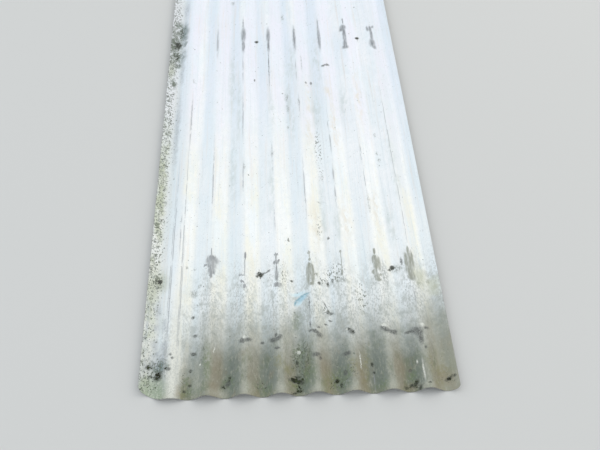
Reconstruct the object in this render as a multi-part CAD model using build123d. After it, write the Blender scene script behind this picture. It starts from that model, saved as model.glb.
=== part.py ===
"""Corrugated steel roofing sheet, one rolled piece, in millimetres.

The sheet lies as a sheet stored flat does. +Y runs along the corrugations, +X across them and +Z up. The
origin is under the middle of the sheet, at the height of its lowest line.
"""

import os
from math import acos, atan2, ceil, cos, degrees, hypot, sin

from build123d import *

# Stock
sheet_length = 2438.0
metal_thickness = 0.6

# Rolled section, measured on the middle of the metal
pitch = 76.2
wave_depth = 19.0
bend_radius = 18.0
crests = 8
edge_run = 25.2

# Nail holes, in the bottoms of three of the troughs
nail_hole_diameter = 8.0
purlin_spacing = 866.0
first_nail_left = 296.0
first_nail_middle = 307.0
first_nail_right = 317.0

# Near end: the left corner is snipped off in two straight cuts, the first of them a short steep nick in the
# side edge, and the right corner is worn round
snip_across = 45.0
snip_along = 27.0
nick_across = 6.5
nick_along = 9.5
worn_corner_radius = 9.0

# What follows from them
sheet_width = crests * pitch + 2 * edge_run
sheet_height = wave_depth + metal_thickness
left_edge = -sheet_width / 2
right_edge = sheet_width / 2
near_end = -sheet_length / 2
far_end = sheet_length / 2
first_trough = left_edge + edge_run


def flank_angle():
    """Slope in radians of the straight flank that is tangent to a trough and to the crest beside it.

    The two bends have the same radius and turn opposite ways, so their common tangent crosses the line
    between their centres, at the angle whose cosine is twice the radius over the length of that line.
    """
    rise = 2 * bend_radius - wave_depth
    across = pitch / 2
    return atan2(across, rise) - acos(2 * bend_radius / hypot(across, rise))


def bend(index, side):
    """One bend of one face, an arc that turns by twice the flank angle.

    Even bends are troughs and odd bends are crests, counted from the first trough. side is +1 for the
    upper face of the metal and -1 for the lower one.
    """
    trough = index % 2 == 0
    up = 1 if trough else -1
    centre_x = first_trough + index * pitch / 2
    centre_z = metal_thickness / 2 + (bend_radius if trough else wave_depth - bend_radius)
    radius = bend_radius - side * up * metal_thickness / 2
    slope = flank_angle()
    left, middle, right = (
        (centre_x + radius * sin(angle), centre_z - up * radius * cos(angle))
        for angle in (-slope, 0.0, slope)
    )
    return ThreePointArc(left, middle, right)


def face_line(side, first_bend, last_bend):
    """One face of the metal in section: its bends from left to right, joined by straight flanks."""
    line = []
    for index in range(first_bend, last_bend + 1):
        arc = bend(index, side)
        if line:
            line.append(Line(line[-1] @ 1, arc @ 0))
        line.append(arc)
    return line


def corrugated_blank():
    """The section run along the whole length, with spare bends past both side edges."""
    spare_bends = 2 * ceil(edge_run / pitch) + 1
    upper = face_line(+1, -spare_bends, 2 * crests + spare_bends)
    lower = face_line(-1, -spare_bends, 2 * crests + spare_bends)
    left_end = Line(upper[0] @ 0, lower[0] @ 0)
    right_end = Line(upper[-1] @ 1, lower[-1] @ 1)
    section = make_face([*upper, right_end, *lower, left_end])
    near_end_plane = Plane.XZ.offset(-near_end)
    return extrude(near_end_plane * section, -sheet_length)


def snipped_corner():
    """Corners of the two cuts at the near left, from the side edge round to the near end."""
    return [
        (left_edge, near_end + snip_along),
        (left_edge + nick_across, near_end + snip_along - nick_along),
        (left_edge + snip_across, near_end),
    ]


def plan_outline():
    """The sheet's outline as seen from above, as a solid as tall as the sheet."""
    corners = [*snipped_corner(), (right_edge, near_end), (right_edge, far_end), (left_edge, far_end)]
    plan = make_face(Polyline(*corners, close=True))
    worn = plan.vertices().sort_by_distance((right_edge, near_end, 0))[0]
    return extrude(fillet(worn, worn_corner_radius), sheet_height)


def nail_holes():
    """Two holes a purlin's spacing apart in the outer left, middle left and last but one trough."""
    columns = [
        (0, first_nail_left),
        (crests // 2 - 1, first_nail_middle),
        (crests - 1, first_nail_right),
    ]
    places = [
        Pos(first_trough + trough * pitch, near_end + first + row * purlin_spacing)
        for trough, first in columns
        for row in (0, 1)
    ]
    drill = extrude(Circle(nail_hole_diameter / 2), sheet_height)
    return [place * drill for place in places]


def corrugated_sheet():
    """The finished sheet: the rolled blank cut to its outline and punched."""
    return (corrugated_blank() & plan_outline()) - nail_holes()


sheet = corrugated_sheet()
sheet.label = "corrugated_sheet"
os.makedirs("parts", exist_ok=True)
export_step(sheet, "parts/corrugated_sheet.step")

flank_rise = wave_depth - 2 * bend_radius * (1 - cos(flank_angle()))
print("size across, along, high:", sheet.bounding_box().size)
print("flank slope, degrees:", round(degrees(flank_angle()), 2), "and its rise:", round(flank_rise, 2))
print("flat width before rolling:", round(sheet.volume / sheet_length / metal_thickness, 1))
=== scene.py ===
"""Old galvanised corrugated roofing sheet, lying flat, seen along its length from the near end.

Shapes are worked out in millimetres, across from the middle of the sheet, along from its near end and up
from the floor, and turned into metres in the part's own frame when a mesh is made.
"""

import math
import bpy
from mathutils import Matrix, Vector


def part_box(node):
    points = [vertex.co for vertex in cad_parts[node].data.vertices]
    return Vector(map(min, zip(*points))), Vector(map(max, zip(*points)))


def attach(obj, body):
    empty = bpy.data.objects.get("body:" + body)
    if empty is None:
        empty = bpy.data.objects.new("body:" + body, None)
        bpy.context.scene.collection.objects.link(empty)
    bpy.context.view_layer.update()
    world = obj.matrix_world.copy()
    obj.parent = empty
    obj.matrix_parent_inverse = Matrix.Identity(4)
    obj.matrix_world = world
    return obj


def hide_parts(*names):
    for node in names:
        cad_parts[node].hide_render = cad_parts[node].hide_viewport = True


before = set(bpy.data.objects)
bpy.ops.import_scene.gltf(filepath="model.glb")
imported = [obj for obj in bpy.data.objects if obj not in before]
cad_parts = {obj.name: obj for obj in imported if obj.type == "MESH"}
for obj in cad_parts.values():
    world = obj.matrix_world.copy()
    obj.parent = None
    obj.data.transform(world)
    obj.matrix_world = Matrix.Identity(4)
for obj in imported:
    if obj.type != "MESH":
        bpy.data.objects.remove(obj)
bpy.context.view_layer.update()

from types import SimpleNamespace

import bpy
import numpy as np
from mathutils import Matrix, Vector

sheet_low, sheet_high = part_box("corrugated_sheet")

METRE = 1000.0

# Room left inside the CAD sheet's box: at each side, along it, under its lowest and over its highest line
SIDE_ROOM = 0.2
END_ROOM = 0.02
FLOOR_ROOM = 0.004
TOP_ROOM = 0.02

LENGTH = (sheet_high.y - sheet_low.y) * METRE - END_ROOM
HALF_WIDTH = (sheet_high.x - sheet_low.x) / 2 * METRE - SIDE_ROOM
HEIGHT = (sheet_high.z - sheet_low.z) * METRE

# Rolled section, on the middle of the metal
METAL = 0.6
PITCH = 76.2
BEND_RADIUS = 18.0
CRESTS = 8
DEPTH = HEIGHT - METAL - TOP_ROOM
FIRST_TROUGH = -CRESTS * PITCH / 2

# Nail holes: trough, counted from the left, and distance of the near one from the near end
NAIL_RADIUS = 4.0
PURLIN_SPACING = 866.0
NAIL_COLUMNS = [(0, 296.0), (3, 307.0), (7, 317.0)]
BURR_HEIGHT = 0.7
BURR_WIDTH = 2.0

# Near end: a corner snipped off in two cuts, and a corner worn round
SNIP_ACROSS = 45.0
SNIP_ALONG = 27.0
NICK_ACROSS = 6.5
NICK_ALONG = 9.5
WORN_RADIUS = 9.0

# Damage and unevenness of use: shares of a wave's height, and reaches and amounts in millimetres
TRODDEN_SHARE = 0.42
TRODDEN_ACROSS = 26.0
TRODDEN_ALONG = 75.0
SAG_SHARE = 0.035
SAG_START = 60.0
END_WANDER = 0.6
END_REACH = 25.0
SIDE_BOW = 0.9


def flank_angle():
    """Slope of the straight flanks: the common tangent of two bends that turn opposite ways."""
    rise = 2 * BEND_RADIUS - DEPTH
    across = PITCH / 2
    return math.atan2(across, rise) - math.acos(2 * BEND_RADIUS / math.hypot(across, rise))


FLANK = flank_angle()
BEND_REACH = BEND_RADIUS * math.sin(FLANK)


def wave_height(x):
    """Height of the middle of the metal at x: an arc round each trough and crest, a straight flank between.

    With t the distance from the nearest trough, a trough rises as R - sqrt(R^2 - t^2), a crest falls short
    of the depth by the same formula from its own middle, and a flank rises by the tangent of its slope.
    """
    t = np.abs((x - FIRST_TROUGH + PITCH / 2) % PITCH - PITCH / 2)
    to_crest = PITCH / 2 - t
    trough = BEND_RADIUS - np.sqrt(np.maximum(BEND_RADIUS**2 - t**2, 0.0))
    crest = DEPTH - BEND_RADIUS + np.sqrt(np.maximum(BEND_RADIUS**2 - to_crest**2, 0.0))
    flank = BEND_RADIUS * (1 - math.cos(FLANK)) + (t - BEND_REACH) * math.tan(FLANK)
    return np.where(t < BEND_REACH, trough, np.where(to_crest < BEND_REACH, crest, flank))


def near_end_line(x):
    """Where the near end lies at x: 0, but for the two straight cuts at the left and the arc at the right."""
    left = x + HALF_WIDTH
    cuts = np.interp(left, [0.0, NICK_ACROSS, SNIP_ACROSS], [SNIP_ALONG, SNIP_ALONG - NICK_ALONG, 0.0])
    into_arc = np.clip(x - HALF_WIDTH + WORN_RADIUS, 0.0, WORN_RADIUS)
    arc = WORN_RADIUS - np.sqrt(WORN_RADIUS**2 - into_arc**2)
    return cuts + arc


def mesh_columns():
    """Places across the sheet: each bend in equal turns, each flank and side lip in equal steps."""
    bend_steps, flank_steps, lip_steps, round_steps = 6, 3, 5, 5
    turns = BEND_RADIUS * np.sin(np.linspace(-FLANK, FLANK, bend_steps + 1))
    middles = FIRST_TROUGH + np.arange(2 * CRESTS + 1) * PITCH / 2
    bends = (middles[:, None] + turns[None, :]).ravel()
    shares = np.arange(1, flank_steps) / flank_steps
    starts = middles[:-1] + BEND_REACH
    flanks = (starts[:, None] + shares[None, :] * (PITCH / 2 - 2 * BEND_REACH)).ravel()
    lip = np.linspace(HALF_WIDTH, -FIRST_TROUGH + BEND_REACH, lip_steps + 1)[:-1]
    nick = [-HALF_WIDTH + NICK_ACROSS, -HALF_WIDTH + SNIP_ACROSS]
    round_part = HALF_WIDTH - WORN_RADIUS * (1 - np.sin(np.linspace(0, math.pi / 2, round_steps)[:-1]))
    return np.unique(np.round(np.concatenate([bends, flanks, lip, -lip, nick, round_part]), 4))


def mesh_rows():
    """Places along the sheet: close together at the near end and round the nail holes, wider elsewhere."""
    bands = [(0, 60, 2.5), (60, 270, 8), (270, 390, 4), (390, 1090, 10), (1090, 1290, 4), (1290, 1410, 10)]
    places = [np.arange(start, stop, step, dtype=float) for start, stop, step in bands]
    far_start, far_rows = bands[-1][1], 52
    return np.concatenate([*places, np.linspace(far_start, LENGTH, far_rows)])


def ripple(x, y, seed, across, along):
    """Smooth random swell between -1 and 1: the mean of a few sine waves of about the given lengths."""
    rng = np.random.default_rng(seed)
    waves = 6
    total = np.zeros(np.broadcast(x, y).shape)
    for _ in range(waves):
        kx, ky = rng.uniform(-1, 1) / across, rng.uniform(0.5, 1.5) / along
        total += np.sin(2 * math.pi * (kx * x + ky * y) + rng.uniform(0, 2 * math.pi))
    return total / waves


def settle(x, y):
    """Puts plan places on the sheet's middle surface, with its damage and the slight unevenness of use.

    The first crest is trodden down towards the near end, which takes a share of its height that falls off
    as a bell curve both ways. Away from the end, all crests sink by up to a millimetre or so in long swells,
    and the end of the sheet wanders a little where it was sheared.
    """
    off_crest = (x - FIRST_TROUGH - PITCH / 2) / TRODDEN_ACROSS
    trodden = TRODDEN_SHARE * np.exp(-(off_crest**2)) * np.exp(-((y / TRODDEN_ALONG) ** 2))
    sag = SAG_SHARE * (1 + ripple(x, y, 5, 170.0, 420.0)) * (1 - np.exp(-y / SAG_START))
    height = wave_height(x) * (1 - trodden - sag)
    y = y + END_WANDER * np.exp(-y / END_REACH) * ripple(x, 0 * y, 8, 11.0, 60.0) ** 2
    x = x + SIDE_BOW * ripple(x, y, 3, 500.0, 500.0) * (1 - (x / HALF_WIDTH) ** 2)
    return x, y, height + METAL / 2 + FLOOR_ROOM


def punched_grid(columns, rows, holes):
    """Plan points and faces of a grid with round holes.

    Where a hole comes, a block of cells is taken out, and rings of points run from the block's rim to the
    hole's circle, each a share of the straight way between them, closer together near the hole.
    """
    x, y = np.meshgrid(columns, rows)
    number = np.arange(x.size).reshape(x.shape)
    kept = np.ones((len(rows) - 1, len(columns) - 1), bool)
    points = [np.stack([x.ravel(), y.ravel()], 1)]
    faces = []
    margin, rings, crowding = 9.0, 5, 0.8
    for hole_x, hole_y in holes:
        r0, r1 = np.searchsorted(rows, [hole_y - margin, hole_y + margin]) + [-1, 0]
        c0, c1 = np.searchsorted(columns, [hole_x - margin, hole_x + margin]) + [-1, 0]
        kept[r0:r1, c0:c1] = False
        rim = np.concatenate(
            [number[r0, c0:c1], number[r0:r1, c1], number[r1, c1:c0:-1], number[r1:r0:-1, c0]]
        )
        outer = points[0][rim]
        away = outer - [hole_x, hole_y]
        circle = [hole_x, hole_y] + NAIL_RADIUS * away / np.linalg.norm(away, axis=1, keepdims=True)
        last = rim
        for share in np.linspace(0, 1, rings + 1)[1:] ** crowding:
            start = sum(len(p) for p in points)
            points.append((1 - share) * outer + share * circle)
            ring = start + np.arange(len(rim))
            faces.append(np.stack([last, np.roll(last, -1), np.roll(ring, -1), ring], 1))
            last = ring
    corner = number[:-1, :-1][kept]
    wide = len(columns)
    faces.insert(0, np.stack([corner, corner + 1, corner + wide + 1, corner + wide], 1))
    return np.concatenate(points), np.concatenate(faces)


def nail_places():
    """Middle of each nail hole, across and along."""
    return [
        (FIRST_TROUGH + trough * PITCH, first + row * PURLIN_SPACING)
        for trough, first in NAIL_COLUMNS
        for row in (0, 1)
    ]


def to_frame(points):
    """Millimetres from the near end into metres in the part's frame."""
    return (points - [0.0, LENGTH / 2, 0.0]) / METRE


def in_scene(name, data):
    """A new object of the scene with the given data, at the origin."""
    made = bpy.data.objects.new(name, data)
    bpy.context.scene.collection.objects.link(made)
    return made


def mesh_object(name, points, faces, materials):
    """A smooth shaded mesh object, from points in millimetres."""
    mesh = bpy.data.meshes.new(name)
    mesh.from_pydata(to_frame(points).tolist(), [], faces)
    mesh.shade_smooth()
    for material in materials:
        mesh.materials.append(material)
    return in_scene(name, mesh)


def rolled_sheet(materials):
    """The sheet: its middle surface with holes, snipped corner and damage, given the metal's thickness.

    The rows near the end move along it, less and less, so that the first one follows the end's outline. A
    hole's rim stands up in a burr that falls off by the exponential of the distance from it. Points that
    no face uses are left out.
    """
    holes = nail_places()
    plan, faces = punched_grid(mesh_columns(), mesh_rows(), holes)
    x, y = plan.T
    warp_reach = 60.0
    end = near_end_line(x)
    y = np.where(y < warp_reach, end + y * (warp_reach - end) / warp_reach, y)
    x, y, z = settle(x, y)
    for hole_x, hole_y in holes:
        from_rim = np.hypot(plan[:, 0] - hole_x, plan[:, 1] - hole_y) - NAIL_RADIUS
        z = z + BURR_HEIGHT * np.exp(-np.maximum(from_rim, 0) / BURR_WIDTH)
    used, order = np.unique(faces, return_inverse=True)
    points = np.stack([x, y, z], 1)[used]
    sheet = mesh_object("rolled_sheet", points, order.reshape(faces.shape).tolist(), materials)
    metal = sheet.modifiers.new("metal", "SOLIDIFY")
    metal.thickness = METAL / METRE
    metal.offset = 0.0
    metal.use_even_offset = True
    metal.material_offset = 1
    metal.material_offset_rim = 2
    return sheet


# Crumbs of moss and soil: middle of a cluster across and along, its spread both ways, how many, the largest
CRUMB_CLUSTERS = [
    (-6, 34, 12, 3.5, 26, 2.6), (2, 22, 7, 9, 14, 1.8), (-1, 11, 5, 2.5, 8, 1.8),
    (-12, 5, 6, 2.5, 6, 1.2), (78, 31, 4, 4, 10, 2.2), (86, 19, 2, 4, 5, 1.4), (70, 16, 9, 8, 7, 1.1),
    (-292, 53, 7, 7, 18, 2.4), (-276, 66, 7, 3, 6, 1.5), (-313, 77, 5, 3, 7, 1.7),
    (-300, 26, 18, 12, 16, 1.1), (-78, 312, 6, 3, 8, 1.7), (224, 314, 5, 3, 7, 1.7),
    (311, 27, 5, 3, 6, 1.7), (241, 15, 5, 8, 12, 1.5), (226, 12, 8, 4, 7, 1.2), (-156, 26, 4, 3, 6, 1.5),
    (-145, 40, 3, 7, 7, 1.3), (-304, 294, 6, 6, 7, 1.5), (-311, 1162, 5, 14, 26, 2.4),
    (-303, 1218, 7, 26, 24, 1.8), (-309, 1104, 8, 16, 20, 1.8), (-306, 1068, 4, 5, 8, 1.8),
]

# Crumbs: scatter as a share of the spread, room to the rims, height as a share of half the width, rooting
CRUMB_SCATTER = 0.55
CRUMB_ROOM = 3.0
CRUMB_HEIGHT = 0.75
ROOTING = 0.2

# Lumps in the nail holes: half width and height
PLUG_RADIUS = 3.5
PLUG_HEIGHT = 0.9

# Mesh of a lump: points in a ring, and how many rings
LUMP_AROUND = 9
LUMP_RISES = 5


def crumb_places():
    """Across, along and half width of each crumb, and whether it lies in a nail hole.

    Crumbs scatter round the middle of their cluster and stay clear of the sheet's rims. Each hole has one.
    """
    rng = np.random.default_rng(41)
    crumbs = []
    for across, along, spread_x, spread_y, count, largest in CRUMB_CLUSTERS:
        x = across + spread_x * rng.normal(0, CRUMB_SCATTER, count)
        y = along + spread_y * rng.normal(0, CRUMB_SCATTER, count)
        half = largest * rng.uniform(0.4, 1.0, count) ** 1.5
        clear = (y > near_end_line(x) + CRUMB_ROOM) & (np.abs(x) < HALF_WIDTH - CRUMB_ROOM)
        crumbs += [(*crumb, False) for crumb in zip(x[clear], y[clear], half[clear])]
    return crumbs + [(*place, PLUG_RADIUS, True) for place in nail_places()]


def lump_faces():
    """Faces of one lump: bands of quads between its rings of points, and a fan at its foot and its top."""
    ring = np.arange(LUMP_AROUND)
    after = np.roll(ring, -1)
    band = np.stack([ring, after, after + LUMP_AROUND, ring + LUMP_AROUND], 1)
    bands = [band + LUMP_AROUND * k for k in range(LUMP_RISES - 1)]
    foot = LUMP_AROUND * LUMP_RISES
    last = foot - LUMP_AROUND
    fans = [
        np.stack([after, ring, np.full(LUMP_AROUND, foot)], 1),
        np.stack([ring + last, after + last, np.full(LUMP_AROUND, foot + 1)], 1),
    ]
    return np.concatenate(bands), np.concatenate(fans)


def soil_crumbs(material):
    """Moss and soil caught in the troughs and in the nail holes, as small rough lumps.

    A point at turn a and rise b of a lump lies at its half width times cos b cos a across, cos b sin a along
    and at its height times sin b up, all swollen or shrunk by up to a third by ripples. A lump in a hole
    lies on the floor. The others follow the upper face of the metal and sink in it by at most a rooting.
    """
    turn = np.linspace(0, 2 * math.pi, LUMP_AROUND, endpoint=False)
    rise = np.linspace(-math.pi / 2, math.pi / 2, LUMP_RISES + 2)[1:-1]
    up = np.concatenate([np.repeat(np.sin(rise), LUMP_AROUND), [-1, 1]])
    quads, fans = lump_faces()
    swelling, sunk_share, off_floor = 0.33, 0.4, 0.05
    points, faces = [], []
    for number, (x, y, half, in_hole) in enumerate(crumb_places()):
        tall = PLUG_HEIGHT if in_hole else CRUMB_HEIGHT * half
        wide = half * np.cos(rise)[:, None]
        px = np.concatenate([(wide * np.cos(turn)).ravel(), [0, 0]])
        py = np.concatenate([(wide * np.sin(turn)).ravel(), [0, 0]])
        swell = 1 + swelling * ripple(px + 3 * up, py + 7 * number, 90 + number, 2.2 * half, 1.8 * half)
        px, py = x + px * swell, y + py * swell
        if in_hole:
            pz = tall / 2 * (1 + up) + off_floor
        else:
            above = (up + sunk_share) * tall * np.minimum(swell, 1.0)
            pz = settle(px, py)[2] + METAL / 2 + np.maximum(above, -ROOTING)
        points.append(np.stack([px, py, pz], 1))
        start = number * len(up)
        faces += (quads + start).tolist() + (fans + start).tolist()
    return mesh_object("soil_crumbs", np.concatenate(points), faces, [material])


# Crystals of hot-dip zinc and the spacing of flyspecks, and the setting that makes an amount rise smoothly
SPANGLE = 9.0
FLYSPECK_SPACING = 17.0
SMOOTH = {"interpolation_type": "SMOOTHSTEP"}


def linear(text):
    """An sRGB hex colour as linear red, green and blue, with an alpha of 1."""
    shares = [int(text[k : k + 2], 16) / 255 for k in (1, 3, 5)]
    return [s / 12.92 if s <= 0.04045 else ((s + 0.055) / 1.055) ** 2.4 for s in shares] + [1.0]


def add(tree, kind, inputs=None, stops=(), **settings):
    """Adds one shader node with its settings and links.

    An input has a name, or its number on the node: 1 to 4 of a Map Range are the two values that it reads and
    the two that it turns them into. Its value is a number, a vector, a colour, a socket, or a node, whose
    first live output is then used. The stops are the places and sRGB hex colours of a colour ramp.
    """
    node = tree.nodes.new("ShaderNode" + kind)
    for name, value in settings.items():
        setattr(node, name, value)
    for number, (place, colour) in enumerate(stops):
        elements = node.color_ramp.elements
        element = elements[number] if number < len(elements) else elements.new(place)
        element.position = place
        element.color = linear(colour)
    for name, value in (inputs or {}).items():
        if isinstance(value, bpy.types.Node):
            value = next(out for out in value.outputs if out.enabled)
        if isinstance(value, bpy.types.NodeSocket):
            tree.links.new(value, node.inputs[name])
        else:
            node.inputs[name].default_value = value
    return node


def paint_layers(tree, ground, layers):
    """Lays each colour over what is under it, by the product of its amounts, and returns the top one."""
    for colour, cover, *amounts in layers:
        for amount in amounts:
            cover = add(tree, "Math", {0: cover, 1: amount}, operation="MULTIPLY")
        if isinstance(colour, str):
            colour = linear(colour)
        ground = add(tree, "Mix", {0: cover, 6: ground, 7: colour}, data_type="RGBA")
    return ground


def new_material(name):
    """A material without nodes, and its node tree."""
    material = bpy.data.materials.new(name)
    material.use_nodes = True
    material.node_tree.nodes.clear()
    return material, material.node_tree


# Marks of use, and patches of painted light and shade, each an ellipse in millimetres: its middle, half its
# width and length, its turn in degrees
NEAR_PURLIN_STAINS = [
    (-187, 342, 14, 14, 0), (-187, 327, 10, 12, 0), (-187, 312, 8, 12, 0), (-189, 298, 3.5, 8, 0),
    (-189, 364, 1.2, 12, 0), (-202, 330, 5, 3, 0), (-111, 352, 2.6, 10, 0), (-112, 318, 1.0, 28, 0),
    (-120, 298, 7, 2, -28), (-118, 279, 6, 2.6, -28), (-113, 266, 3, 6, 0), (-40, 353, 5, 4, 0),
    (-40, 342, 1.8, 11, 0), (-41, 330, 6.5, 6, 0), (-35, 333, 4, 3, 28), (-40, 314, 1.8, 11, 0),
    (-40, 294, 4, 17, 0), (-38, 267, 9, 6, 0), (36, 356, 3.5, 4.5, 0), (37, 335, 3, 3.5, 0),
    (37, 345, 1.0, 12, 0), (36.5, 318, 7, 8, 0), (31.8, 294, 4.6, 30, 0), (41.8, 293, 4.6, 29, 0),
    (37, 304, 4.5, 12, 0), (37, 268, 7, 4, 0), (50, 296, 6, 2.5, 28), (110, 356, 2.5, 4, 0),
    (110, 318, 1.0, 40, 0), (189, 355, 3, 9, 0), (187, 331, 6, 15, 0), (196, 319, 4.5, 21, 0),
    (188, 313, 5.5, 13, 0), (184, 297, 6.5, 7, 0), (188, 284, 6, 13, 0), (194, 286, 7, 4, 0),
    (190, 274, 7.5, 5, 0), (268, 353, 3.4, 14, 0), (260, 326, 4, 22, 0), (268, 328, 5, 24, 0),
    (275, 326, 3.4, 28, 0), (265, 302, 9, 18, 0), (267, 281, 9, 13, 0),
]
FAR_PURLIN_STAINS = [
    (-115, 1186, 6.6, 32, 0), (-115, 1134, 4.2, 30, 0), (-116, 1232, 1.8, 32, 0), (-41, 1180, 5, 36, 0),
    (-41, 1136, 3.4, 36, 0), (-42, 1030, 1.3, 80, 0), (36.5, 1164, 4.2, 52, 0), (111, 1166, 4.2, 52, 0),
    (111, 1226, 2, 30, 0), (188.5, 1248, 2, 14, 0), (187, 1217, 8.5, 12, 0), (183, 1208, 7, 9, 0),
    (188.5, 1176, 5, 42, 0), (187.5, 1138, 5.5, 18, 0), (187, 1122, 8.5, 9, 0), (261, 1209, 3.2, 12, 0),
    (269, 1206, 5, 15, 0), (278, 1221, 3, 9, -25), (270.5, 1176, 4.4, 30, 0), (269.5, 1138, 8.5, 20, 0),
    (273, 1120, 6, 10, 0),
]
SCUFFS = [
    (-118, 125, 6, 6, 0), (-106, 128, 9, 4, 28), (-52, 127, 9, 5.5, -28), (-42, 128, 9, 5, 28),
    (-46, 137, 3, 6, 0), (-36, 134, 4, 4, 0), (38, 143, 9, 4.5, -28), (47, 135, 7, 6, 0),
    (30, 146, 5, 3, 0), (110, 145, 7, 3.5, -28), (117, 139, 7, 6, 0), (185, 146, 5, 5, -28),
    (193, 141, 9, 6, -28), (205, 138, 11, 5, 0), (212, 142, 6, 3.5, 28), (243, 140, 9, 3.5, 0),
    (255, 139, 10, 8, -28), (262, 134, 8, 12, 0), (264, 117, 5, 14, 0), (280, 145, 7, 3, 28),
    (250, 328, 2.4, 10, 0), (-58, 313, 4, 3, 28), (38, 86, 9, 5, 0), (46, 78, 3, 5, 0),
    (30, 214, 0.9, 16, 0), (66.5, 217.5, 1.2, 9.5, 28), (103, 88, 9, 4.5, 0), (70.5, 199, 3.2, 4, 28),
    (78, 196.5, 4.4, 3.4, 0), (63.5, 166.5, 4, 2, 12), (47, 154, 4, 3, 0), (75, 178, 4, 2.5, 0),
    (-219, 149, 5, 3.5, -28), (-44, 105, 5, 3, 0), (-75, 128, 4, 3, 0), (271, 95, 3, 3.5, 0),
    (233, 49, 3.5, 3.5, 0), (-270, 65, 4, 4, 28), (29, 162, 1.6, 8, 0), (-268, 98, 3, 3, 0),
    (-264, 90, 3, 3, 0), (-157, 26, 5, 3, 28), (-148, 33, 5, 7, -28), (96, 45, 4, 6, 0),
]
DARK_SPOTS = [
    (-77, 310, 8, 4, 0), (-84, 304, 3, 5, -28), (-77, 302, 1.6, 6, 0), (-67, 311, 6, 2, 0),
    (229, 318, 5, 5, 0), (221, 310, 5, 2.4, 28), (56, 273, 4, 4.5, 0), (76, 276, 3, 7, 0),
    (87, 283, 2.5, 5, 0), (-6, 287, 4, 3, 0), (-226, 197, 3.5, 4.5, 0), (-221, 105, 7, 4, -28),
    (-226, 66, 3, 4, 0), (-226, 32, 3.6, 3.4, 0), (-292, 53, 9, 10, -28), (-314, 76, 7, 4, 28),
    (155, 67, 3, 4.5, 0), (157, 47, 2.4, 3, 0), (-306, 55, 2, 2, 0), (-3, 77, 3, 6, 0),
    (-7, 34, 13, 5, 0), (3, 31, 7, 6, -28), (-3, 43, 8, 2.4, 0), (0, 11, 6, 3, 0), (-10, 5, 9, 1.8, 28),
    (78, 31, 5, 5, 0), (86, 19, 2.4, 5.5, 0), (-144, 46, 2.6, 3, 0), (-237, 18, 3, 3, 0),
    (311, 27, 8, 4, 28), (323, 31, 3, 3, 0), (241, 17, 3.4, 9, -28), (248, 5, 3, 7, -28),
    (233, 15, 6, 3.5, 0), (220, 8, 5, 3, 28), (267, 12, 4, 2, 0), (-311, 1160, 7, 16, 0),
    (114, 1034, 5, 3.6, 28), (122, 1040, 8, 3, 28), (129, 1046, 5, 4, 28), (77, 978, 2.8, 6, 0),
    (62, 975, 2.4, 4, 0), (-83.5, 994, 2.2, 5, 0), (-9, 405, 2.8, 4, 0), (86, 408, 2.6, 4, 0),
    (112, 146.5, 6, 2.2, -12), (120, 139, 3, 4, 28),
]
FAINT_SPOTS = [
    (109, 276, 10, 5.5, -28), (-276, 67, 10, 7, 28), (-286, 88, 6, 5, -28), (207, 290, 8, 34, 0),
    (234, 313, 11, 9, 0), (245, 312, 6, 6, 0), (306, 276, 5, 6, 0), (284, 264, 8, 4, 0),
    (1, 180, 11, 21, 0), (-214, 277, 4.5, 5, 0), (-226, 260, 8, 9, 0), (-215, 226, 8, 4, 0),
    (5, 918, 5, 14, 0), (5, 1298, 3, 12, 0), (6, 1286, 3, 8, 0), (-245, 329, 2.5, 4, 0),
    (-227, 330, 3, 4, 0), (-149, 1373, 5, 8, 0), (-151, 589, 2, 3.5, 0), (237, 664, 3, 6, 0),
    (234, 690, 2.4, 5, 0), (236, 758, 2.4, 6, 0), (5, 886, 2, 5, 0), (5, 796, 2.4, 6, 0),
    (8, 870, 4, 14, 0), (-113, 640, 2.4, 10, 0), (-41, 684, 3, 9, 0), (192.5, 500, 3, 24, 0),
    (53, 1056, 2, 26, 0), (72, 524, 5, 3.2, 0), (85, 606, 3, 8, 0), (-255, 980, 2.4, 9, 0),
    (37, 880, 2.4, 12, 0),
]
RUSTY_MARKS = [
    (131, 32, 6, 26, 0), (228, 12, 16, 9, 0), (-178, 24, 10, 14, 0), (303, 30, 16, 16, 0),
    (-250, 18, 6, 12, 0), (52, 62, 10, 26, 0), (216, 55, 12, 26, 0), (-172, 70, 10, 34, 0),
]
BARE_FLECKS = [
    (-113.5, 134, 3, 3.5, 0), (-177.5, 107, 1.3, 6.5, -12), (-205, 74, 1.6, 2.6, 0),
    (1.7, 101.5, 3.6, 4.5, 0), (107, 146, 2.6, 3, 0), (188, 153, 5, 3.4, 0), (272, 151.5, 4.5, 3.6, 0),
    (130, 72, 1.1, 18, 0),
]
# Painted highlights: pale streaks along the first and last crests near the end
CREST_HIGHLIGHTS = [
    (-261, 85, 12, 150, 0), (-250, 110, 3, 90, 0), (259, 42, 1.6, 20, 0), (249, 65, 1.5, 3.5, 0),
    (-260, 18, 4, 26, 0),
]
PALE_ENDS = [
    (-40, 10, 11, 14, 0), (-213, 38, 10, 34, 0), (35, 8, 12, 12, 0), (-108, 13, 11, 15, 0),
    (190, 9, 10, 13, 0), (110, 6, 9, 10, 0), (262, 6, 12, 9, 0), (-165, 10, 16, 10, 0),
]
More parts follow.
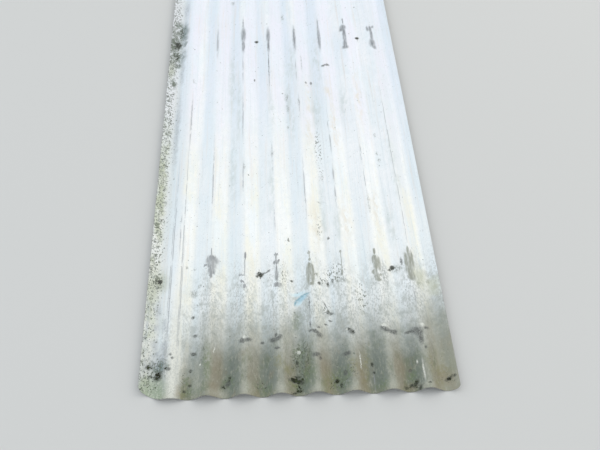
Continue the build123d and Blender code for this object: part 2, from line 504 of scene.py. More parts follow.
RUB_LINES = [
    (-278, 330, 1.2, 290, 0), (-281.5, 320, 0.9, 250, 0), (-256, 400, 1.1, 300, 0),
    (-253.5, 230, 0.8, 160, 0), (-116.5, 830, 1.6, 80, 0), (-191, 610, 1.7, 112, 0),
    (-255, 816, 1.9, 90, 0), (29.5, 190, 0.9, 44, 0), (266, 222, 0.9, 32, 0), (-116, 600, 1.5, 60, 0),
    (-41, 672, 1.8, 44, 0), (-40, 470, 1.2, 40, 0), (37, 560, 1.5, 90, 0), (38, 866, 1.3, 40, 0),
    (36, 1020, 1.3, 40, 0), (113, 722, 1.8, 36, 0), (112, 606, 1.9, 26, 0), (112, 530, 1.9, 30, 0),
    (111, 806, 1.3, 34, 0), (189, 674, 1.8, 30, 0), (190, 570, 1.1, 50, 0), (268, 740, 1.0, 170, 0),
    (270, 480, 1.0, 110, 0), (156, 26, 1.0, 22, 0), (-116.5, 1030, 1.5, 60, 0), (-263, 430, 1.4, 60, 0),
    (-191, 1148, 3.2, 58, 0),
]
SPECKLED_PLACES = [
    (92, 301, 21, 28, 0), (81, 690, 8, 84, 0), (66, 440, 6, 30, 0), (8, 82, 19, 46, 0),
    (-22, 300, 8, 30, 0), (150, 240, 14, 40, 0), (62, 284, 14, 12, 0), (70, 205, 10, 14, 0),
]
SMEARS = [
    (84, 850, 11, 60, 0), (10, 900, 8, 80, 0), (16, 810, 9, 60, 0), (160, 880, 9, 60, 0),
    (78, 480, 6, 90, 0), (112, 440, 8, 60, 0), (-142, 640, 8, 110, 0), (-146, 1000, 9, 120, 0),
    (-38, 850, 6, 60, 0), (20, 1060, 12, 70, 0), (96, 1060, 9, 90, 0), (-128, 860, 6, 110, 0),
    (-46, 560, 6, 90, 0), (270, 620, 7, 90, 0), (240, 440, 7, 60, 0),
]
# Painted light: long patches on slopes, most of them facing left, lifted to near white
PAINTED_LIGHT_SLOPES = [
    (243, 840, 17, 700, 0), (-52, 540, 14, 250, 0), (-50, 1320, 14, 140, 0), (170, 660, 15, 150, 0),
    (170, 960, 14, 140, 0), (170, 1320, 16, 140, 0), (93, 600, 15, 170, 0), (-233, 1020, 11, 440, 0),
    (30, 1320, 12, 130, 0), (-96, 560, 10, 210, 0), (-66, 470, 10, 110, 0), (-118, 1320, 9, 110, 0),
    (-23, 270, 9, 110, 0),
]
# Painted shade: long patches on slopes, most of them facing right, greyed
PAINTED_SHADE_SLOPES = [
    (281, 900, 14, 640, 0), (-268, 640, 10, 300, 0), (46, 900, 12, 170, 0), (124, 960, 8, 100, 0),
    (76, 960, 7, 90, 0),
]
BROWN_SMEARS = [
    (122, 925, 9, 34, 0), (58, 450, 13, 66, 0), (132, 450, 12, 60, 0), (60, 760, 9, 50, 0),
    (204, 900, 10, 90, 0), (64, 900, 6, 70, 0), (130, 780, 10, 80, 0), (208, 480, 10, 60, 0),
]
BLUE_CHALK = [
    (-0.5, 228, 2, 7, -12), (6, 236, 8.5, 2.1, 28), (14, 241, 4.5, 2.6, 0), (22, 243.5, 8, 1.8, 0),
]
CHALK_DUST = [(15, 235, 12, 5.5, 28)]
PALE_DUST = [(7, 249, 13, 4.5, 0), (7, 224, 7, 4, 28)]
OLIVE_HAZE = [(287, 282, 15, 26, 0), (275, 286, 5, 16, 0), (315, 262, 14, 20, 0)]
MOSSY_PLACES = [
    (-308, 290, 12, 18, 0), (-290, 78, 21, 18, 0), (-294, 58, 18, 16, 0), (-5, 30, 20, 22, 0),
    (0, 84, 22, 44, 0), (82, 30, 17, 22, 0), (-78, 24, 16, 16, 0), (-148, 36, 14, 18, 0),
    (113, 52, 14, 18, 0), (244, 14, 15, 18, 0), (-238, 40, 16, 26, 0), (312, 26, 16, 12, 0),
    (-198, 84, 9, 40, 0),
]
GREEN_FILMS = [
    (-190, 72, 8, 36, 0), (20, 50, 13, 32, 0), (-8, 18, 16, 12, 0), (80, 28, 20, 22, 0),
    (100, 44, 10, 12, 0), (236, 36, 12, 18, 0), (-232, 40, 8, 12, 0), (-222, 14, 18, 14, 0),
    (-146, 34, 10, 14, 0), (170, 14, 12, 14, 0), (6, 96, 16, 22, 0), (-78, 20, 14, 16, 0),
    (0, 180, 11, 22, 0),
]
YELLOW_FILMS = [
    (135, 30, 7, 34, 0), (142, 70, 7, 24, 0), (113, 62, 10, 14, 0), (62, 24, 14, 22, 0),
    (-20, 56, 11, 12, 0), (296, 44, 18, 14, 0), (-242, 14, 10, 14, 0), (-14, 22, 8, 10, 0),
    (285, 18, 12, 8, 0), (-40, 76, 10, 16, 0), (274, 56, 7, 22, 0),
]
ALGAE_PLACES = [
    (-299, 1218, 14, 44, 0), (-312, 1164, 14, 24, 0), (-308, 1102, 19, 27, 0), (-306, 1068, 9, 9, 0),
    (-320, 1150, 9, 70, 0), (-309, 1258, 10, 20, 0), (-313, 985, 7, 14, 0), (-288, 1160, 7, 10, -28),
    (-286, 73, 19, 10, 0),
]
FILMY_PLACES = [
    (-306, 292, 19, 24, 0), (-319, 275, 11, 50, 0), (-321, 600, 9, 110, 0), (-322, 1040, 8, 40, 0),
]
# Bluish-grey smudges: dark marks along the lip, and painted shade on the slope that rises from the outer
# trough
SMUDGES_AND_SHADE = [
    (-293, 790, 7, 120, 0), (-291, 1030, 6, 50, 0), (-290, 1215, 8, 40, 0), (-290, 1330, 8, 40, 0),
    (-304, 218, 7, 18, 0), (-305, 174, 6, 11, 0), (-305, 130, 8, 10, 0), (-284, 118, 8, 16, 0),
    (-290, 94, 17, 16, 0), (-287, 176, 4, 14, 0), (-323, 220, 3, 15, 0), (-323, 174, 3, 10, 0),
    (-324, 148, 3, 12, 0), (-324, 192, 3, 7, 0), (-298, 84, 20, 12, 0), (-300, 106, 12, 8, 0),
]


def sheet_measures(tree):
    """Where a point lies on the sheet, in millimetres, and that place shaken in a few ways."""
    own = add(tree, "TexCoord")
    settings = {"Vector": own.outputs["Object"], "Location": (0, LENGTH / 2, 0), "Scale": (METRE,) * 3}
    place = add(tree, "Mapping", settings)
    loose = shaken(tree, place, 60.0, (14.0, 20.0, 0.0))
    apart, loose_apart = (add(tree, "SeparateXYZ", {"Vector": vector}) for vector in (place, loose))
    phase = {0: apart.outputs["X"], 1: 2 * math.pi / PITCH, 2: -FIRST_TROUGH * 2 * math.pi / PITCH}
    turn = add(tree, "Math", phase, operation="MULTIPLY_ADD")
    return SimpleNamespace(
        place=place,
        across=apart.outputs["X"],
        along=apart.outputs["Y"],
        height=apart.outputs["Z"],
        loose_across=loose_apart.outputs["X"],
        loose_along=loose_apart.outputs["Y"],
        left_slope=add(tree, "Math", {0: turn}, operation="SINE"),
        ragged=shaken(tree, place, 6.0, (1.6, 1.6, 0.0)),
        run_down=shaken(tree, place, 2.2, (0.5, 4.0, 0.0), stretch=6.0),
        fuzzy=shaken(tree, place, 4.0, (1.3, 1.3, 0.0)),
        wavy=shaken(tree, place, 22.0, (4.0, 7.0, 0.0)),
        steady=shaken(tree, place, 30.0, (0.6, 0.6, 0.0)),
    )


def grainy(tree, place, grain, stretch=1.0, detail=4.0):
    """Noise with features of one grain, in millimetres, which are longer along the sheet by the stretch."""
    size = (1 / grain, 1 / grain / stretch, 1 / grain)
    scaled = add(tree, "VectorMath", {0: place, 1: size}, operation="MULTIPLY")
    return add(tree, "TexNoise", {"Vector": scaled, "Scale": 1.0, "Detail": detail, "Roughness": 0.65})


def shaken(tree, place, grain, reach, stretch=1.0):
    """The place moved about by noise of one grain, by up to about a reach each way, in millimetres."""
    size = (1 / grain, 1 / grain / stretch, 1 / grain)
    scaled = add(tree, "VectorMath", {0: place, 1: size}, operation="MULTIPLY")
    noise = add(tree, "TexNoise", {"Vector": scaled, "Scale": 1.0, "Detail": 3.0})
    centred = add(tree, "VectorMath", {0: noise.outputs["Color"], 1: (0.5,) * 3}, operation="SUBTRACT")
    reach = tuple(4 * most for most in reach)
    return add(tree, "VectorMath", {0: centred, 1: reach, 2: place}, operation="MULTIPLY_ADD")


def patches(tree, place, grain, low, high, stretch=1.0, detail=4.0, least=0.0, most=1.0):
    """Grainy noise as the least amount where it is under the low level and the most where over the high."""
    noise = grainy(tree, place, grain, stretch, detail)
    return add(tree, "MapRange", {0: noise, 1: low, 2: high, 3: least, 4: most}, **SMOOTH)


def specks(tree, place, grain, density, share=1.0, stretch=1.0, detail=4.0):
    """Grainy spots: none where the density is 0 and, at a full share, nearly all is covered where it is 1."""
    level = add(tree, "MapRange", {0: density, 3: 0.70, 4: 0.70 - 0.34 * share})
    noise = grainy(tree, place, grain, stretch, detail)
    above = add(tree, "Math", {0: noise, 1: level}, operation="SUBTRACT")
    return add(tree, "MapRange", {0: above, 1: 0.0, 2: 0.06}, **SMOOTH)


def turned_place(tree, place, turn):
    """The place measured along axes turned about the vertical by an angle in degrees."""
    angle = math.radians(turn)
    aside = add(tree, "VectorMath", {0: place, 1: (0, 0, math.sin(angle))}, operation="CROSS_PRODUCT")
    return add(tree, "VectorMath", {0: place, 1: (math.cos(angle),) * 3, 2: aside}, operation="MULTIPLY_ADD")


def marks_amount(tree, place, marks, softness):
    """1 inside any of the ellipses and 0 outside, with a rim as soft as the given share of their size.

    A place that is measured from an ellipse's middle, in its half width and half length, is at a distance
    of 1 on the ellipse. The least of these distances counts.
    """
    places = {0: place}
    nearest = None
    for across, along, half_width, half_length, turn in marks:
        if turn not in places:
            places[turn] = turned_place(tree, place, turn)
        middle = Matrix.Rotation(math.radians(-turn), 2) @ Vector((across, along))
        sizes = {0: places[turn], 1: (1 / half_width, 1 / half_length, 0)}
        sizes[2] = (-middle.x / half_width, -middle.y / half_length, 0)
        own = add(tree, "VectorMath", sizes, operation="MULTIPLY_ADD")
        away = add(tree, "VectorMath", {0: own}, operation="LENGTH")
        nearest = away if nearest is None else add(tree, "Math", {0: nearest, 1: away}, operation="MINIMUM")
    return add(tree, "MapRange", {0: nearest, 1: 1 + softness, 2: 1 - softness}, **SMOOTH)


def patina_and_painted_light(tree, sheet):
    """Zinc that rain has turned white: creamy near the end that was lapped, bluer beyond, faintly streaked.
    Its colour also holds painted shade and light: a cool tint on slopes that face left, warm patches on
    slopes that face right, and long patches on some slopes painted lighter or greyer.

    A spangle of zinc crystals shows through it, at its real size. Rain streaks are 1 to 2 mm wide and are
    drawn 4 mm wide so that they show.
    """
    share = add(tree, "Math", {0: sheet.loose_along, 1: LENGTH}, operation="DIVIDE")
    tones = [(0.0, "#f0f1eb"), (0.17, "#fafbf8"), (0.29, "#f9fbfb"), (0.37, "#f5f7fc"), (0.5, "#f1f4fc")]
    ground = add(tree, "ValToRGB", {"Fac": share}, tones)
    cells = add(tree, "TexVoronoi", {"Vector": sheet.place, "Scale": 1 / SPANGLE})
    spangle = add(tree, "SeparateColor", {"Color": cells.outputs["Color"]}).outputs["Red"]
    cool_shade = add(tree, "MapRange", {0: sheet.left_slope, 1: -0.3, 2: 0.7}, **SMOOTH)
    varied = patches(tree, sheet.steady, 36.0, 0.34, 0.62, stretch=5.0, least=0.25, most=0.6)
    warm_lit_side = add(tree, "MapRange", {0: sheet.left_slope, 1: 0.2, 2: -0.7}, **SMOOTH)
    nearer = add(tree, "MapRange", {0: sheet.loose_along, 1: 900, 2: 500}, **SMOOTH)
    further = add(tree, "MapRange", {0: sheet.loose_along, 1: 560, 2: 900}, **SMOOTH)
    layers = [
        # Painted cool shade: a bluish tint, in patches, on the slopes that face left, away from the key light
        ("#e6f2fa", cool_shade, varied),
        # Long patches of painted light, near white, and of painted shade, grey, on some slopes
        ("#fdfefe", marks_amount(tree, sheet.wavy, PAINTED_LIGHT_SLOPES, 0.8), 0.9),
        ("#e0e5e8", marks_amount(tree, sheet.wavy, PAINTED_SHADE_SLOPES, 0.9), 0.55),
        ("#e5f2f6", patches(tree, sheet.place, 70.0, 0.45, 0.62, stretch=3.0), 0.35),
        # Painted warm light on the slopes that face right, partly random tone: cream near the end, lavender
        # further on
        ("#f6f2de", patches(tree, sheet.steady, 52.0, 0.42, 0.62, stretch=4.0), warm_lit_side, nearer, 0.65),
        ("#f4f0fa", patches(tree, sheet.place, 64.0, 0.40, 0.60, stretch=3.0), warm_lit_side, further, 0.5),
        ("#d3dde2", patches(tree, sheet.place, 4.0, 0.50, 0.74, stretch=60.0), 0.45),
        ("#e9e0d6", patches(tree, sheet.steady, 9.0, 0.52, 0.72, stretch=30.0), 0.4),
        ("#e4ebee", spangle, 0.25),
        ("#d6dcdb", patches(tree, sheet.place, 2.5, 0.50, 0.66, detail=2.0), 0.3),
    ]
    return ground, layers


def near_end_grime_and_shade(tree, sheet):
    """Dirt and algae where the sheet above lapped over this one and kept it damp, least on the first crest.
    The grime is darker in the troughs, partly as painted shade, and the slopes carry painted shade where they
    face left and painted warm light where they face right.

    The distance from the near end counts as more than it is on the first crest and on slopes that face the
    right, and as less in the outer trough and at the right side, where the grime reaches further up. Grains
    of dirt under a millimetre are drawn 3 to 5 mm across so that they show.
    """
    off_crest = add(tree, "MapRange", {0: sheet.loose_across, 1: -262, 2: -232}, **SMOOTH)
    off_wave = add(tree, "MapRange", {0: sheet.loose_across, 1: -216, 2: -194}, **SMOOTH)
    in_trough = add(tree, "MapRange", {0: sheet.across, 1: -274, 2: -292}, **SMOOTH)
    right_side = add(tree, "MapRange", {0: sheet.loose_across, 1: 250, 2: 285}, **SMOOTH)
    facing_right = add(tree, "MapRange", {0: sheet.left_slope, 1: 0.3, 2: -0.7}, **SMOOTH)
    distance = add(tree, "Math", {0: sheet.loose_along, 1: 115}, operation="ADD")
    shifts = [(off_crest, -77), (off_wave, -38), (in_trough, -12), (right_side, -34), (facing_right, 16)]
    for amount, shift in shifts:
        distance = add(tree, "Math", {0: amount, 1: shift, 2: distance}, operation="MULTIPLY_ADD")
    fading = add(tree, "MapRange", {0: distance, 1: 390, 2: 230}, **SMOOTH)
    grime = add(tree, "MapRange", {0: distance, 1: 278, 2: 42}, **SMOOTH)
    damp = add(tree, "MapRange", {0: distance, 1: 190, 2: 40}, **SMOOTH)
    off_end = add(tree, "MapRange", {0: distance, 1: 66, 2: 150}, **SMOOTH)
    rim = add(tree, "MapRange", {0: sheet.along, 1: 18, 2: 2}, **SMOOTH)
    right_strip = add(tree, "MapRange", {0: sheet.across, 1: 284, 2: 298}, **SMOOTH)
    algae_and_shade_side = add(tree, "MapRange", {0: sheet.left_slope, 1: 0.1, 2: 0.9}, **SMOOTH)
    dust_and_light_side = add(tree, "MapRange", {0: sheet.left_slope, 1: -0.2, 2: -0.9}, **SMOOTH)
    raised = add(tree, "MapRange", {0: sheet.height, 1: 2.0, 2: 14.0, 3: 0.45, 4: 1.0})
    dabs = patches(tree, sheet.ragged, 3.2, 0.44, 0.64, stretch=2.2, detail=3.0)
    # Grime darker in the troughs and lighter on the crests: partly dirt that settles low, partly painted
    # shade in the troughs
    share = add(tree, "Math", {0: sheet.height, 1: HEIGHT}, operation="DIVIDE")
    tones = [(0.0, "#73796b"), (0.4, "#7e8275"), (0.8, "#8a8c7e"), (1.0, "#96988a")]
    uneven = patches(tree, sheet.ragged, 5.0, 0.34, 0.60, stretch=1.6, detail=3.0)
    return [
        ("#a3a9a5", fading, raised, dabs, 0.62),
        ("#b4bab5", fading, patches(tree, sheet.place, 17.0, 0.46, 0.64, stretch=1.5), 0.5),
        (add(tree, "ValToRGB", {"Fac": share}, tones), grime, 0.93),
        # Bluish green on slopes that face left, partly algae and partly painted shade; tan on slopes that
        # face right, partly dust and partly painted warm light
        ("#6b7a74", algae_and_shade_side, damp, 0.45),
        ("#a1977f", dust_and_light_side, damp, 0.42),
        ("#687554", patches(tree, sheet.place, 26.0, 0.50, 0.64, stretch=1.8), damp, 0.4),
        ("#93856a", patches(tree, sheet.place, 37.0, 0.52, 0.68, stretch=2.0), damp, 0.35),
        ("#565b4f", patches(tree, sheet.ragged, 3.4, 0.54, 0.74, stretch=1.8), damp, 0.45),
        ("#c9cabf", off_end, patches(tree, sheet.ragged, 9.0, 0.46, 0.66, detail=5.0), grime, 0.5),
        ("#b9b9a9", patches(tree, sheet.place, 4.2, 0.50, 0.70, stretch=2.6, detail=2.0), damp, 0.4),
        ("#c3c0ae", right_strip, damp, 0.42),
        ("#6c7d56", marks_amount(tree, sheet.wavy, GREEN_FILMS, 0.95), uneven, 0.6),
        ("#8a895f", marks_amount(tree, sheet.wavy, YELLOW_FILMS, 0.95), uneven, 0.5),
        ("#9c957c", rim, patches(tree, sheet.ragged, 6.0, 0.36, 0.60), 0.3),
    ]


def outer_trough_dirt_and_shade(tree, sheet):
    """Lichen, algae and dirt along the side edge and in damp places: specks that thicken into crusts. Bluish
    grey smudges and bluer algae on the slope that rises from the outer trough are partly painted shade.

    Lichen of this kind grows in spots of 1 to 3 mm, which are drawn 4 to 8 mm across so that they show.
    """
    edge = add(tree, "SeparateXYZ", {"Vector": sheet.wavy}).outputs["X"]
    lip = add(tree, "MapRange", {0: edge, 1: -300, 2: -318}, **SMOOTH)
    trough = add(tree, "MapRange", {0: edge, 1: -284, 2: -304}, **SMOOTH)
    blue_shade_side = add(tree, "MapRange", {0: sheet.across, 1: -306, 2: -292}, **SMOOTH)
    green_reach = add(tree, "MapRange", {0: sheet.along, 1: 900, 2: 640}, **SMOOTH)
    mossy = marks_amount(tree, sheet.wavy, MOSSY_PLACES, 0.7)
    lip_density = add(tree, "MapRange", {0: sheet.along, 1: 220, 2: 330, 3: 0.15, 4: 0.26})
    density = add(tree, "Math", {0: lip, 1: lip_density}, operation="MULTIPLY")
    density = add(tree, "Math", {0: trough, 1: 0.20, 2: density}, operation="MULTIPLY_ADD")
    density = add(tree, "Math", {0: mossy, 1: 0.30, 2: density}, operation="MULTIPLY_ADD")
    corner = marks_amount(tree, sheet.wavy, [(-302, 18, 30, 30, 0)], 0.6)
    green = patches(tree, sheet.place, 34.0, 0.42, 0.58, stretch=2.0)
    uneven = patches(tree, sheet.wavy, 9.0, 0.36, 0.60, stretch=1.6, least=0.35)
    torn = patches(tree, sheet.ragged, 5.0, 0.36, 0.60, stretch=1.3, least=0.5)
    algae = marks_amount(tree, sheet.wavy, ALGAE_PLACES, 0.8)
    algae = add(tree, "Math", {0: algae, 1: uneven}, operation="MULTIPLY")
    thick = add(tree, "Math", {0: algae, 1: 0.5, 2: density}, operation="MULTIPLY_ADD")
    crust = specks(tree, sheet.wavy, 13.0, density, share=0.8)
    return [
        ("#e0e3df", trough, 0.5),
        ("#c9cfb9", lip, green, green_reach, 0.75),
        ("#b6bca0", marks_amount(tree, sheet.wavy, FILMY_PLACES, 0.9), 0.6),
        # Bluish grey, partly real smudges and partly painted shade on the slope facing away from the key
        # light
        ("#a7aeb4", marks_amount(tree, sheet.wavy, SMUDGES_AND_SHADE, 0.9), torn, 0.58),
        ("#718175", algae, 0.85),
        # Algae painted bluer on the rising slope: partly algae, partly painted shade
        ("#84959a", algae, blue_shade_side, 0.6),
        ("#9bab8f", corner, 0.7),
        ("#d0d3c6", corner, patches(tree, sheet.ragged, 4.0, 0.48, 0.62, detail=3.0), 0.6),
        ("#949a96", specks(tree, sheet.place, 8.0, density, stretch=1.5, detail=3.0), 0.6),
        ("#6b7263", specks(tree, sheet.ragged, 4.6, thick, stretch=1.4, detail=2.0), 0.75),
        ("#566350", crust, green, 0.6),
        ("#41463c", specks(tree, sheet.place, 4.4, density, share=0.85, detail=2.0), 0.85),
    ]


def marks_of_use_and_highlights(tree, sheet):
    """Stains under both purlins' laps, scuffs, rub lines, chalk, moss and specks of dirt, and painted
    highlights along the first and last crests by the near end.

    The stains are in long fibres, bluish on the left and olive on the right of the near purlin.
    """
    fibres = patches(tree, sheet.place, 2.4, 0.34, 0.60, stretch=12.0, detail=3.0, least=0.5)
    near_stains = marks_amount(tree, sheet.run_down, NEAR_PURLIN_STAINS, 0.3)
    far_stains = marks_amount(tree, sheet.fuzzy, FAR_PURLIN_STAINS, 0.55)
    smeary = patches(tree, sheet.wavy, 11.0, 0.36, 0.62, stretch=2.5)
    on_right = add(tree, "MapRange", {0: sheet.across, 1: -60, 2: 40}, **SMOOTH)
    near_purlin = add(tree, "MapRange", {0: sheet.along, 1: 900, 2: 400}, **SMOOTH)
    olive = add(tree, "Math", {0: on_right, 1: near_purlin}, operation="MULTIPLY")
    stain_colour = add(tree, "ValToRGB", {"Fac": olive}, [(0.0, "#919496"), (1.0, "#989b8e")])
    cells = add(tree, "TexVoronoi", {"Vector": sheet.ragged, "Scale": 1 / FLYSPECK_SPACING})
    cell_kind = add(tree, "SeparateColor", {"Color": cells.outputs["Color"]}).outputs["Green"]
    reach = add(tree, "MapRange", {0: cell_kind, 1: 0.78, 2: 1.0, 3: 0.0, 4: 0.15})
    inside = add(tree, "Math", {0: reach, 1: cells.outputs["Distance"]}, operation="SUBTRACT")
    flyspecks = add(tree, "MapRange", {0: inside, 1: 0.0, 2: 0.03}, **SMOOTH)
    grit = patches(tree, sheet.place, 4.4, 0.55, 0.60, stretch=1.6, detail=2.0)
    dashes = patches(tree, sheet.place, 5.0, 0.38, 0.5, stretch=8.0)
    broken = patches(tree, sheet.place, 3.0, 0.36, 0.60, detail=3.0, least=0.5)
    scratchy = patches(tree, sheet.place, 3.2, 0.40, 0.58, stretch=2.0, detail=3.0)
    rims = [(x, y, NAIL_RADIUS + 1.8, NAIL_RADIUS + 1.8, 0) for x, y in nail_places()]
    return [
        ("#70786c", flyspecks, 0.75),
        # Painted highlights along the crests, broken up
        ("#e9e9df", marks_amount(tree, sheet.steady, CREST_HIGHLIGHTS, 0.9), broken, 0.9),
        ("#bdbeb0", marks_amount(tree, sheet.fuzzy, PALE_ENDS, 0.9), broken, 0.6),
        ("#8f958f", marks_amount(tree, sheet.ragged, FAINT_SPOTS, 0.8), scratchy, 0.7),
        ("#c4c5a6", marks_amount(tree, sheet.wavy, OLIVE_HAZE, 0.9), 0.5),
        ("#c9d3d0", marks_amount(tree, sheet.wavy, SMEARS, 0.95), smeary, 0.55),
        ("#e3dccb", marks_amount(tree, sheet.wavy, BROWN_SMEARS, 0.95), smeary, 0.55),
        (stain_colour, near_stains, fibres, 0.95),
        ("#84888c", far_stains, fibres, 0.95),
        ("#59604f", marks_amount(tree, sheet.ragged, SPECKLED_PLACES, 0.5), grit, 0.8),
        ("#5a5d5a", marks_amount(tree, sheet.fuzzy, SCUFFS, 0.6), broken, 0.9),
        ("#8a7a5c", marks_amount(tree, sheet.wavy, RUSTY_MARKS, 0.9), 0.3),
        ("#9b9fa3", marks_amount(tree, sheet.steady, RUB_LINES, 0.6), dashes, 0.65),
        ("#d2ecf4", marks_amount(tree, sheet.fuzzy, PALE_DUST, 0.9), 0.75),
        ("#a4cee0", marks_amount(tree, sheet.fuzzy, CHALK_DUST, 0.9), 0.8),
        ("#74a7b6", marks_amount(tree, sheet.fuzzy, BLUE_CHALK, 0.7), broken, 0.85),
        ("#363b30", marks_amount(tree, sheet.fuzzy, DARK_SPOTS, 0.6), broken, 0.95),
        ("#3f4037", marks_amount(tree, sheet.ragged, rims, 0.35), 0.85),
        ("#e9ebe2", marks_amount(tree, sheet.fuzzy, BARE_FLECKS, 0.5), broken, 0.9),
    ]


def weathered_zinc(name):
    """The upper face: hot-dip galvanised steel after years outdoors, roll-formed.

    A matt crust of white zinc carbonate hides most of the metal's shine, and dust dulls the near end still
    more. The crust is under a tenth of a millimetre thick and its grain, drawn 3 mm across, barely shows.
    """
    material, tree = new_material(name)
    sheet = sheet_measures(tree)
    ground, layers = patina_and_painted_light(tree, sheet)
    # Besides the zinc's own marks, these layers hold painted light and shade on the slopes and in the troughs
    layers += near_end_grime_and_shade(tree, sheet) + outer_trough_dirt_and_shade(tree, sheet) + marks_of_use_and_highlights(tree, sheet)
    colour = paint_layers(tree, ground, layers)
    dull = add(tree, "MapRange", {0: sheet.loose_along, 1: 420, 2: 60}, **SMOOTH)
    roughness = add(tree, "MapRange", {0: dull, 3: 0.55, 4: 0.85})
    crust = grainy(tree, sheet.place, 3.0, stretch=1.6, detail=3.0)
    bump = add(tree, "Bump", {"Strength": 0.35, "Distance": 0.0002, "Height": crust})
    looks = {"Base Color": colour, "Metallic": 0.2, "Roughness": roughness, "Normal": bump}
    add(tree, "OutputMaterial", {"Surface": add(tree, "BsdfPrincipled", looks)})
    return material


def sheltered_zinc(name):
    """The underside: hot-dip zinc that stayed dry, so still grey metal in large flat crystals.

    Each crystal shines a little differently, and white bloom and dust dull them in places.
    """
    material, tree = new_material(name)
    sheet = sheet_measures(tree)
    cells = add(tree, "TexVoronoi", {"Vector": sheet.fuzzy, "Scale": 1 / SPANGLE})
    crystal = add(tree, "SeparateColor", {"Color": cells.outputs["Color"]}).outputs["Red"]
    ground = add(tree, "ValToRGB", {"Fac": crystal}, [(0.0, "#a3a9ad"), (0.5, "#b1b7ba"), (1.0, "#c0c5c6")])
    bloom = patches(tree, sheet.ragged, 26.0, 0.50, 0.66, stretch=1.6, detail=6.0)
    damp_end = add(tree, "MapRange", {0: sheet.loose_along, 1: 90, 2: 10}, **SMOOTH)
    layers = [
        ("#d9dddc", bloom, 0.6),
        ("#a79f90", patches(tree, sheet.place, 60.0, 0.46, 0.66, stretch=4.0), 0.35),
        ("#8e9290", patches(tree, sheet.place, 5.0, 0.56, 0.76, stretch=40.0), 0.4),
        ("#7f8274", damp_end, patches(tree, sheet.ragged, 7.0, 0.36, 0.62), 0.7),
    ]
    colour = paint_layers(tree, ground, layers)
    metal = add(tree, "MapRange", {0: bloom, 3: 0.75, 4: 0.2})
    half_dull = add(tree, "Math", {0: crystal, 1: 0.5}, operation="MULTIPLY")
    dull = add(tree, "Math", {0: bloom, 1: half_dull}, operation="MAXIMUM")
    roughness = add(tree, "MapRange", {0: dull, 3: 0.40, 4: 0.72})
    bump = add(tree, "Bump", {"Strength": 0.2, "Distance": 0.0001, "Height": crystal})
    looks = {"Base Color": colour, "Metallic": metal, "Roughness": roughness, "Normal": bump}
    add(tree, "OutputMaterial", {"Surface": add(tree, "BsdfPrincipled", looks)})
    return material


def sheared_steel(name):
    """The cut edge: mild steel that the shear bared, dull with smeared zinc and rusting in short runs."""
    material, tree = new_material(name)
    sheet = sheet_measures(tree)
    rust = patches(tree, sheet.place, 3.5, 0.48, 0.60, detail=5.0)
    layers = [
        ("#b3b6b2", patches(tree, sheet.place, 6.0, 0.42, 0.60, detail=3.0), 0.7),
        ("#7a5d45", rust, 0.55),
        ("#4a4034", patches(tree, sheet.place, 2.0, 0.56, 0.66), 0.5),
    ]
    colour = paint_layers(tree, linear("#8d8c86"), layers)
    roughness = add(tree, "MapRange", {0: rust, 3: 0.50, 4: 0.9})
    bump = add(tree, "Bump", {"Strength": 0.4, "Distance": 0.0001, "Height": rust})
    looks = {"Base Color": colour, "Metallic": 0.35, "Roughness": roughness, "Normal": bump}
    add(tree, "OutputMaterial", {"Surface": add(tree, "BsdfPrincipled", looks)})
    return material


def damp_soil(name):
    """Moss and soil: crumbly and without any gloss, nearly black and green where wet, grey where dry."""
    material, tree = new_material(name)
    sheet = sheet_measures(tree)
    grain = grainy(tree, sheet.place, 1.4)
    dry_grain = add(tree, "MapRange", {0: grain, 1: 0.56, 2: 0.68}, **SMOOTH)
    dry = add(tree, "MapRange", {0: sheet.along, 1: 90, 2: 250}, **SMOOTH)
    layers = [
        ("#42502d", patches(tree, sheet.place, 5.0, 0.42, 0.58), 0.7),
        ("#6f7054", dry_grain, 0.35),
        ("#6a6d68", dry, 0.6),
    ]
    colour = paint_layers(tree, linear("#26251a"), layers)
    bump = add(tree, "Bump", {"Strength": 0.6, "Distance": 0.0004, "Height": grain})
    looks = {"Base Color": colour, "Roughness": 0.95, "Normal": bump}
    add(tree, "OutputMaterial", {"Surface": add(tree, "BsdfPrincipled", looks)})
    return material


# Camera, in millimetres and degrees, from the lattice of the paving's joints and the sheet's own edges
CAMERA_PLACE = (-57.0, -724.2, 1426.2)
CAMERA_TURN = 3.786
CAMERA_TILT = 50.37
CAMERA_ROLL = 1.40
CAMERA_FOCUS = 764.07
PHOTO_WIDTH = 600.0
SENSOR = 36.0
VIEW_REACH = 100.0

# Floor, in metres: how far it runs each way, and how far it lies under the sheet so that they don't touch
FLOOR_REACH = 60.0
FLOOR_BELOW = 0.0003


def set_camera():
    """Camera at the photograph's place, from its turn about the vertical, its tilt down and its roll."""
    turn, tilt, roll = (math.radians(a) for a in (CAMERA_TURN, CAMERA_TILT, CAMERA_ROLL))
    level_right = Vector((math.cos(turn), -math.sin(turn), 0))
    level_ahead = Vector((math.sin(turn), math.cos(turn), 0))
    ahead = level_ahead * math.cos(tilt) - Vector((0, 0, math.sin(tilt)))
    tilted_up = level_ahead * math.sin(tilt) + Vector((0, 0, math.cos(tilt)))
    right = level_right * math.cos(roll) + tilted_up * math.sin(roll)
    up = tilted_up * math.cos(roll) - level_right * math.sin(roll)
    data = bpy.data.cameras.new("camera")
    data.sensor_width = SENSOR
    data.lens = CAMERA_FOCUS / PHOTO_WIDTH * SENSOR
    data.clip_end = VIEW_REACH
    axes = Matrix((right, up, -ahead)).transposed().to_4x4()
    camera = in_scene("camera", data)
    camera.matrix_world = Matrix.Translation(Vector(to_frame(np.array(CAMERA_PLACE)))) @ axes
    bpy.context.scene.camera = camera


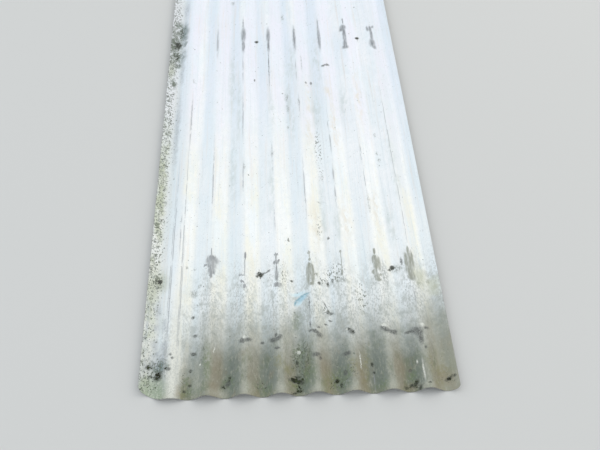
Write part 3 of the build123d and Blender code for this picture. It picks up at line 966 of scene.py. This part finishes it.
def softbox(name, place, size, power, colour):
    """A square area lamp at a place in metres, turned towards the middle of the sheet."""
    data = bpy.data.lights.new(name, "AREA")
    data.shape = "SQUARE"
    data.size = size
    data.energy = power
    data.color = linear(colour)[:3]
    lamp = in_scene(name, data)
    lamp.location = place
    lamp.rotation_euler = (-Vector(place)).to_track_quat("-Z", "Y").to_euler()


def set_world():
    """Even pale surroundings: one strength for what lights the object, one for what the eye and gloss see."""
    world = bpy.data.worlds.new("studio")
    bpy.context.scene.world = world
    world.use_nodes = True
    tree = world.node_tree
    tree.nodes.clear()
    path = add(tree, "LightPath").outputs
    seen = add(tree, "Math", {0: path["Is Camera Ray"], 1: path["Is Glossy Ray"]}, operation="MAXIMUM")
    seen = add(tree, "Math", {0: seen, 1: path["Is Transmission Ray"]}, operation="MAXIMUM")
    lit = add(tree, "Background", {"Color": linear("#eef2f6"), "Strength": 1.04})
    shown = add(tree, "Background", {"Color": linear("#e4e5e5"), "Strength": 1.0})
    both = add(tree, "MixShader", {0: seen, 1: lit, 2: shown})
    add(tree, "OutputWorld", {"Surface": both})


def lay_floor():
    """A plain pale matt floor."""
    sides = [(-1, -1), (1, -1), (1, 1), (-1, 1)]
    corners = [(x * FLOOR_REACH, y * FLOOR_REACH, -FLOOR_BELOW) for x, y in sides]
    mesh = bpy.data.meshes.new("floor")
    mesh.from_pydata(corners, [], [(0, 1, 2, 3)])
    material, tree = new_material("studio_floor")
    looks = {"Base Color": linear("#cfcfcc"), "Roughness": 0.9}
    add(tree, "OutputMaterial", {"Surface": add(tree, "BsdfPrincipled", looks)})
    mesh.materials.append(material)
    floor = in_scene("floor", mesh)


sheet = rolled_sheet(
    [weathered_zinc("weathered_zinc"), sheltered_zinc("sheltered_zinc"), sheared_steel("sheared_steel")]
)
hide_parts("corrugated_sheet")
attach(sheet, "root")

crumbs = soil_crumbs(damp_soil("damp_soil"))
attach(crumbs, "root")

set_camera()
set_world()
lay_floor()
softbox("key_right", (3.2, 1.2, 3.0), 2.6, 34, "#fff6ea")
softbox("fill_left", (-3.4, -0.4, 2.6), 2.6, 14, "#eaf2ff")
bpy.context.scene.view_settings.view_transform = "Standard"
